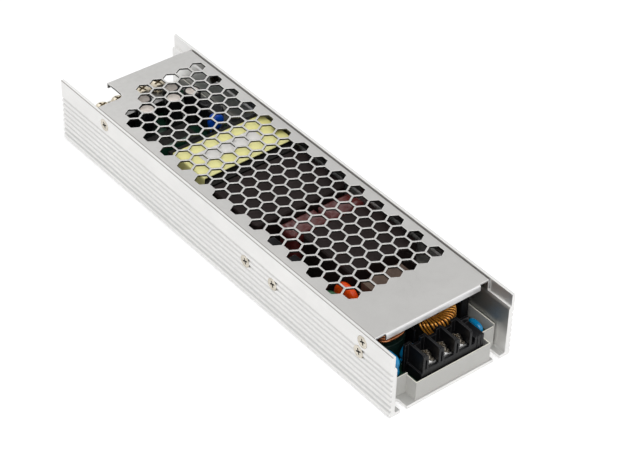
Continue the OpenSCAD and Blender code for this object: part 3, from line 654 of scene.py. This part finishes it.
BOARD_TOP = list(mm_box("circuit_board"))[1][2]
print("top of the board in mm:", round(BOARD_TOP, 2))


# %% Shapes from curves
def smooth(x):
    """A soft step: 3 x squared less 2 x cubed, with x held between 0 and 1."""
    x = np.clip(x, 0, 1)
    return x ** 2 * (3 - 2 * x)


def superellipse(turn, half_a, half_b, power):
    """A squared circle: each of cosine and sine is raised to 2 / power and keeps its sign."""
    c, s = np.cos(turn), np.sin(turn)
    return half_a * np.sign(c) * np.abs(c) ** (2 / power), half_b * np.sign(s) * np.abs(s) ** (2 / power)


def tube(path, radius, outward, sides=8):
    """A round wire: at each point of the path a circle lies across its direction; both ends are closed."""
    along = np.gradient(path, axis=0)
    along /= np.linalg.norm(along, axis=1, keepdims=True)
    aside = np.cross(along, outward)
    aside /= np.linalg.norm(aside, axis=1, keepdims=True)
    out = np.cross(aside, along)
    turn = np.linspace(0, 2 * np.pi, sides, endpoint=False)[None, :, None]
    rings = path[:, None] + radius * (np.cos(turn) * out[:, None] + np.sin(turn) * aside[:, None])
    ends = [np.repeat(path[i][None, None], sides, axis=1) for i in (0, -1)]
    return np.concatenate([ends[0], rings, ends[1]])


def spun(profile, centre, sides):
    """A turned shape: the profile's radius and height are swung round an upright axis."""
    turn = np.linspace(0, 2 * np.pi, sides, endpoint=False)
    radius, height = np.asarray(profile, float).T[:, :, None]
    return np.stack([centre[0] + radius * np.cos(turn), centre[1] + radius * np.sin(turn),
                     np.broadcast_to(height, (len(profile), sides))], axis=-1)


for power in (2, 3, 6):
    print("a squared circle of power", power, "reaches", superellipse(np.pi / 4, 1, 1, power)[0].round(2),
          "of the way to its corner")

# %% [markdown]
# ## The ring choke's wire
# The choke behind the terminals is a ferrite ring wound with two halves of thick gold enamelled wire. The
# solid stands for it with separate hoops. The real wire is one line that climbs the outside, crosses the
# top, dives through the bore and comes back below. A curve modifier could bend a helix round the ring, but
# a path with two angles is simpler: one runs along the ring, the other runs fast round its section.

# %% Ring choke wire
RING_TURNS = 16
RING_STEPS = 40
RING_WIRE = 0.9
RING_BORE = 5.4
RING_SQUARE = 5
RING_GAP = math.radians(14)
RING_TREMBLE = 0.012
RING_LEAN = 1.0
# Share of the lean that is left at the top of the ring.
LEAN_TOP = 0.35
LEAD_STEPS = 11
ring_low, ring_high = mm_box("line_choke_winding")
ring_middle = (ring_low + ring_high) / 2
ring_outer = (ring_high[1] - ring_low[1]) / 2


def ring_half(first, last, lean):
    """One half of the winding: radius and height follow a squared circle round the core's section.

    The angle along the ring grows evenly from first to last and trembles a little. The lean turns the
    lower, outer end of a strand forwards, most for the first turn and not at all for the last. A straight
    lead at each end goes down to the board.
    """
    t = np.linspace(0, RING_TURNS, RING_TURNS * RING_STEPS + 1)
    half_r = (ring_outer - RING_BORE - RING_WIRE) / 2
    half_z = (ring_high[2] - ring_low[2] - RING_WIRE) / 2
    across, up = superellipse(2 * np.pi * t, half_r, half_z, RING_SQUARE)
    radius = (ring_outer + RING_BORE) / 2 + across
    outer = smooth((radius - RING_BORE) / (ring_outer - RING_BORE))
    lower = (1 + LEAN_TOP) / 2 - (1 - LEAN_TOP) / 2 * up / half_z
    angle = first + (last - first) * t / RING_TURNS + lean * (1 - t / RING_TURNS) * outer * lower
    angle = angle + RING_TREMBLE * np.sin(2.3 * t) * np.sin(0.7 * t)
    path = np.stack([ring_middle[0] + radius * np.cos(angle), ring_middle[1] + radius * np.sin(angle),
                     ring_middle[2] + up], -1)
    # The normal of a squared circle is a squared circle too, with the power p / (p - 1).
    out_r, out_z = superellipse(2 * np.pi * t, 1 / half_r, 1 / half_z, RING_SQUARE / (RING_SQUARE - 1))
    out = np.stack([out_r * np.cos(angle), out_r * np.sin(angle), out_z], -1)
    out /= np.linalg.norm(out, axis=1, keepdims=True)
    rise = np.linspace(0, 1, LEAD_STEPS, endpoint=False)[:, None]
    feet = path[[0, -1]] * (1, 1, 0) + (0, 0, BOARD_TOP)
    leads = [foot + rise * (end - foot) for foot, end in zip(feet, path[[0, -1]])]
    path = np.concatenate([leads[0], path, leads[1][::-1]])
    out = np.concatenate([np.repeat(out[:1], LEAD_STEPS, 0), out, np.repeat(out[-1:], LEAD_STEPS, 0)])
    return tube(path, RING_WIRE / 2, out)


halves = [ring_half(start + RING_GAP, start + math.pi - RING_GAP, lean)
          for start, lean in ((0, 0.0), (math.pi, RING_LEAN))]
make_piece("line_choke_wire", halves, gold_enamel, "gold_enamel_wire", "line_choke_winding")

# %% [markdown]
# ## Coils on formers
# The input choke and the filter choke have upright coils: a helix whose turns are squared circles, because
# the wire bends round the corners of a former. The input choke has two such layers, one inside the other,
# and each leg of the filter choke has one. Blender's Screw modifier makes round coils only, so the helix is
# worked out here.


# %% Input choke coil
# The circles of a tail are set out from any direction that no tail runs along.
TAIL_ASIDE = np.array([[0.3, 0.9, 0.1]])


def helix(middle, halves, power, low, high, turns, start, steps=48):
    """Path and outward direction of a coil: squared circles whose height grows evenly from low to high."""
    t = np.linspace(0, turns, turns * steps + 1)
    turn = start + 2 * np.pi * t
    x, y = superellipse(turn, *halves, power)
    path = np.stack([middle[0] + x, middle[1] + y, low + (high - low) * t / turns], -1)
    return path, np.stack([np.cos(turn), np.sin(turn), 0 * turn], -1)


def lead_down(point, outward, step_out, radius, steps=16):
    """A tail from a coil's end down to the board, set off by a small step in its upper part."""
    s = np.linspace(0, 1, steps)[:, None]
    drop = np.array([0, 0, BOARD_TOP - point[2]])
    path = point + drop * s + outward * step_out * np.clip(3 * smooth(s), 0, 1)
    return tube(path, radius, np.repeat(TAIL_ASIDE, steps, 0))


INPUT_WIRE, INPUT_TURNS, INPUT_SQUARE, INPUT_STEP = 1.28, 3, 3.0, 1.0
coil_low, coil_high = mm_box("input_choke_winding")
coil_middle, coil_half = (coil_low + coil_high) / 2, (coil_high - coil_low) / 2
coil_grids = []
for layer in (0, 1):
    path, out = helix(coil_middle, coil_half[:2] - INPUT_WIRE * (0.5 + layer), INPUT_SQUARE,
                      coil_low[2] + INPUT_WIRE * 1.5, coil_high[2] - INPUT_WIRE / 2, INPUT_TURNS,
                      start=math.radians(100))
    coil_grids.append(tube(path, INPUT_WIRE / 2, out, sides=12))
    if layer == 0:
        coil_grids.append(lead_down(path[0], out[0], INPUT_STEP, INPUT_WIRE / 2))
make_piece("input_choke_wire", coil_grids, copper_enamel, "copper_enamel_wire", "input_choke_winding")

# %% Filter choke coils
LEG_WIRE, LEG_TURNS, LEG_SQUARE, LEG_STEP = 1.12, 6, 6, 0.4
LEG_HALF_X = 3.2
leg_low, leg_high = mm_box("filter_choke_windings")
leg_middle_y = (leg_low[1] + leg_high[1]) / 2
leg_half = np.array([LEG_HALF_X, (leg_high[1] - leg_low[1]) / 2])
leg_grids = []
for x in (leg_low[0] + LEG_HALF_X, leg_high[0] - LEG_HALF_X):
    path, out = helix((x, leg_middle_y), leg_half - LEG_WIRE / 2, LEG_SQUARE, leg_low[2] + LEG_WIRE / 2,
                      leg_high[2] - LEG_WIRE / 2, LEG_TURNS, start=math.radians(90))
    leg_grids.append(tube(path, LEG_WIRE / 2, out))
    leg_grids.append(lead_down(path[0], out[0], LEG_STEP, LEG_WIRE / 2))
make_piece("filter_choke_wires", leg_grids, copper_enamel, "copper_enamel_wire", "filter_choke_windings")

# %% [markdown]
# ## Dipped capacitors and discs
# Capacitors, the varistor and the thermistor are dipped in epoxy while hanging by their leads. That leaves
# a soft pillow with an uneven skin and a small skirt that runs down each lead. Sculpting six of them would
# be slow, so the skin is a squared circle whose reach grows from one face to the rim and shrinks to the
# other face; slow waves make it uneven.


# %% Dipped skins and leads
SKIN_ROWS, SKIN_COLUMNS = 25, 64
RIM_ROOT, FACE_ROOT = 0.55, 0.7
WAIST_SPAN = 0.16
# Shares of the body's size by which its outline and its faces are waved.
BROAD_WAVE, FINE_WAVE, FACE_WAVE = 0.018, 0.012, 0.05
# Radius of a skirt at its lower end, and how much wider it is at the body, in mm.
SKIRT_TIP, SKIRT_FLARE = 0.45, 0.75
# Shares of the body's height: how far below the middle a skirt and a lead begin, and how far a skirt falls.
SKIRT_START, LEAD_START, SKIRT_FALL = 0.36, 0.3, 0.24
# A skirt ends at least this far above the board, and a lead this far inside it, in mm.
SKIRT_CLEAR, LEAD_SINK = 0.2, 0.05


def dipped_body(centre, wide, tall, thick, power, faces_x, waist):
    """Closed skin: outline times a root of sine, thickness times a root of cosine, both gently waved."""
    across, turn = np.meshgrid(np.linspace(0, np.pi, SKIN_ROWS),
                               np.linspace(0, 2 * np.pi, SKIN_COLUMNS, endpoint=False), indexing="ij")
    side, up = superellipse(turn, wide / 2, tall / 2, power)
    wave = 1 + BROAD_WAVE * np.sin(3 * turn + centre[0])
    wave = wave + FINE_WAVE * np.sin(5 * turn + 2 * across + centre[1])
    reach = np.abs(np.sin(across)) ** RIM_ROOT * wave
    up = up * reach
    pinch = 1 - waist * np.exp(-(up / tall / WAIST_SPAN) ** 2)
    side = side * reach * pinch
    depth = thick / 2 * np.sign(np.cos(across)) * np.abs(np.cos(across)) ** FACE_ROOT
    depth = depth * pinch * (1 + FACE_WAVE * np.sin(0.9 * side + 0.7 * up))
    local = (depth, side, up) if faces_x else (side, depth, up)
    return np.stack([centre[k] + local[k] for k in range(3)], -1)


def lead_places(centre, gap, faces_x):
    """Where the two leads stand under a body, to either side of its middle."""
    return [(centre[0], centre[1] + s * gap / 2) if faces_x else (centre[0] + s * gap / 2, centre[1])
            for s in (-1, 1)]


def skirt_profile(centre, tall, steps=9):
    """Epoxy that ran down a lead: its radius narrows as a square from the body to the lead."""
    fall = np.linspace(0, 1, steps)
    radius = SKIRT_TIP + SKIRT_FLARE * (1 - fall) ** 2
    top = centre[2] - tall * SKIRT_START
    height = top - fall * min(tall * SKIRT_FALL, top - BOARD_TOP - SKIRT_CLEAR)
    return np.stack([np.pad(radius, 1), np.pad(height, 1, mode="edge")], -1)


def lead_profile(centre, tall, radius):
    """A straight lead from the board into the body."""
    low, high = BOARD_TOP - LEAD_SINK, centre[2] - tall * LEAD_START
    return [(0, low), (radius, low), (radius, high), (0, high)]


print("points in a dipped skin:", SKIN_ROWS * SKIN_COLUMNS)

# %% Dipped parts
# Name, node, middle, width, height, thickness, squareness, faces X, waist, lead gap, lead radius, finish
# and slot; lengths are in mm.
DIPPED = [
    ("left_blue_capacitor", "y_capacitors", (-20.3, -100.6, 13.3), 8.4, 10.6, 3.2, 3.2, True, 0.12, 5, 0.4,
     light_blue, "blue_epoxy"),
    ("middle_blue_capacitor", "y_capacitors", (-10.2, -98.5, 12.7), 7.4, 7.4, 3.4, 2.0, False, 0.0, 5, 0.4,
     light_blue, "blue_epoxy"),
    ("right_blue_capacitor", "y_capacitors", (22.6, -101.2, 10.4), 8.0, 5.0, 2.8, 2.6, True, 0.0, 5, 0.4,
     light_blue, "blue_epoxy"),
    ("varistor_disc", "varistor", (-12.0, -63.0, 16.2), 14.0, 14.0, 4.6, 2.1, True, 0.0, 7.5, 0.5,
     orange_red, "red_epoxy"),
    ("thermistor_disc", "thermistor", (-17.2, -60.4, 14.5), 11.0, 11.0, 4.2, 2.1, True, 0.0, 7.5, 0.5,
     dark_green, "green_epoxy"),
    ("safety_capacitor_disc", "safety_capacitor", (13.8, 60.0, 20.5), 7.5, 7.5, 4.2, 2.1, False, 0.0, 5, 0.4,
     deep_blue, "deep_blue_epoxy"),
]
all_leads = []
for name, node, centre, wide, tall, thick, power, faces_x, waist, gap, radius, skin, slot in DIPPED:
    places = lead_places(centre, gap, faces_x)
    body = dipped_body(centre, wide, tall, thick, power, faces_x, waist)
    skirts = [spun(skirt_profile(centre, tall), place, sides=14) for place in places]
    make_piece(name, [body, *skirts], skin, slot, node)
    all_leads += [spun(lead_profile(centre, tall, radius), place, sides=10) for place in places]
make_piece("component_leads", all_leads, tin, "tinned_metal")

# %% [markdown]
# ## Output cans
# The output capacitors are aluminium cans in black shrink sleeves. The sleeve folds over the rim and leaves
# a round of bare metal with a pressed cross, which lets the can open safely. A boolean could cut the
# cross, but it leaves ragged faces. So the sleeve is a turned profile, and the bare top is a disc whose
# height dips along the two lines of the cross.

# %% Output cans
CAN_R = 3.9
CAN_AT = [(-7.5, 81.4), (6.8, 81.5), (16.5, 81.1), (-4.6, 88.7), (10.3, 88.6)]
CROSS_HALF, CROSS_DEPTH = 0.22, 0.07
TOP_R, CROSS_R = CAN_R - 0.9, CAN_R - 1.2
# Depth of the bare top below the sleeve's rim, rise of its dome and height of its hidden side, in mm.
TOP_DEPTH, DOME_RISE, TOP_SIDE = 0.3, 0.04, 0.3
TOP_RINGS, TOP_SIDES = 14, 48
can_low, can_high = mm_box("output_capacitors")
# Radius, and height above the foot or below the top.
SLEEVE_FOOT = [(0, 0), (CAN_R - 0.3, 0), (CAN_R, 0.4), (CAN_R, 1.5), (CAN_R - 0.35, 2.0),
               (CAN_R - 0.35, 2.4), (CAN_R, 2.9)]
SLEEVE_RIM = [(CAN_R, -0.7), (CAN_R - 0.1, -0.3), (CAN_R - 0.35, -0.07), (CAN_R - 0.6, 0),
              (CAN_R - 0.85, -0.1), (CAN_R - 0.95, -0.4), (0, -0.4)]
sleeve = np.concatenate([np.array(SLEEVE_FOOT) + (0, can_low[2]), np.array(SLEEVE_RIM) + (0, can_high[2])])


def can_top(place):
    """A disc in rings: its height is a low dome, less a smooth groove along each line of a cross."""
    radius, turn = np.meshgrid(np.linspace(0, TOP_R, TOP_RINGS),
                               np.linspace(0, 2 * np.pi, TOP_SIDES, endpoint=False), indexing="ij")
    x, y = radius * np.cos(turn), radius * np.sin(turn)
    score = np.clip(np.exp(-(x / CROSS_HALF) ** 2) + np.exp(-(y / CROSS_HALF) ** 2), 0, 1)
    dome = can_high[2] - TOP_DEPTH + DOME_RISE * np.cos(radius)
    top = np.stack([place[0] + x, place[1] + y, dome - CROSS_DEPTH * score * (radius < CROSS_R)], -1)
    rim = top[-1:] - (0, 0, TOP_SIDE)
    base = np.broadcast_to(np.array([*place, can_high[2] - (TOP_DEPTH + TOP_SIDE)]), (1, TOP_SIDES, 3))
    return np.concatenate([top, rim, base])


make_piece("output_can_sleeves", [spun(sleeve, place, sides=40) for place in CAN_AT], sleeve_film,
           "black_epoxy", "output_capacitors")
make_piece("output_can_tops", [can_top(place) for place in CAN_AT], can_metal, "can_aluminium",
           "output_capacitors")

# %% [markdown]
# ## Sleeved chokes
# Next to the cans stand three small drum chokes in black shrink sleeve. They are partly a real part and
# partly dark pieces put where shade lies between the tray's inner walls, so they also stand for painted
# shade. Such a sleeve draws tight, rolls over the upper rim and leaves a shallow dish, so each one is again
# a turned profile.

# %% Sleeved chokes
# Place, radius and height of the top in mm.
DRUMS = [(19.0, 74.0, 3.4, 21.0), (18.6, 66.6, 3.7, 21.5), (21.6, 55.6, 3.3, 20.5)]


def sleeved_drum(x, y, radius, top):
    """A turned profile: a straight side, a rolled rim and a shallow dish."""
    foot = [(0, BOARD_TOP), (radius - 0.3, BOARD_TOP), (radius, BOARD_TOP + 0.4)]
    rim = [(radius, top - 0.7), (radius - 0.1, top - 0.3), (radius - 0.35, top - 0.07), (radius - 0.7, top)]
    dish = [(radius - 1.1, top - 0.12), (radius - 1.3, top - 0.4), (0, top - 0.5)]
    return spun(foot + rim + dish, (x, y), sides=40)


# Dark pieces that also stand for the shade between the tray's inner walls.
make_piece("output_chokes_and_shade", [sleeved_drum(*drum) for drum in DRUMS], sleeve_film, "black_epoxy")

# %% [markdown]
# ## Blank label
# A blank paper strip is stuck across the taped transformer. A plane with Solidify would lie dead flat. Here
# the strip's section is a thin loop that follows the tape, and the loop is carried along the strip with a
# slight wave, so the paper lies a hair proud at its ends as old labels do.

# %% Blank label
LABEL_X, LABEL_Y = (-12.8, 16.9), (30.1, 37.6)
LABEL_THICK, LABEL_LIFT = 0.1, 0.05
LABEL_WAVE, WAVE_RATE = 0.03, 0.55
# The ends curl up outside this share of the strip's half length.
CURL, CURL_FROM = 0.1, 0.85
LABEL_ROWS, LABEL_COLUMNS = 40, 12
label_half = (LABEL_X[1] - LABEL_X[0]) / 2
tape_low, tape_high = mm_box("transformer_tape")
along = np.linspace(*LABEL_X, LABEL_ROWS)
loop_y = np.concatenate([np.linspace(*LABEL_Y, LABEL_COLUMNS), np.linspace(*LABEL_Y[::-1], LABEL_COLUMNS)])
loop_z = np.repeat([0, LABEL_THICK], LABEL_COLUMNS)
end_curl = CURL * np.clip(np.abs(along - np.mean(LABEL_X)) / label_half - CURL_FROM, 0, 1)
wave = LABEL_LIFT + LABEL_WAVE * np.sin(along * WAVE_RATE) + end_curl
strip = np.stack([*np.broadcast_arrays(along[:, None], loop_y[None]),
                  tape_high[2] + wave[:, None] + loop_z[None]], -1)
caps = [np.repeat(strip[i].mean(axis=0)[None, None], 2 * LABEL_COLUMNS, axis=1) for i in (0, -1)]
make_piece("transformer_label", [np.concatenate([caps[0], strip, caps[1]])], label_paper, "tray_plastic")
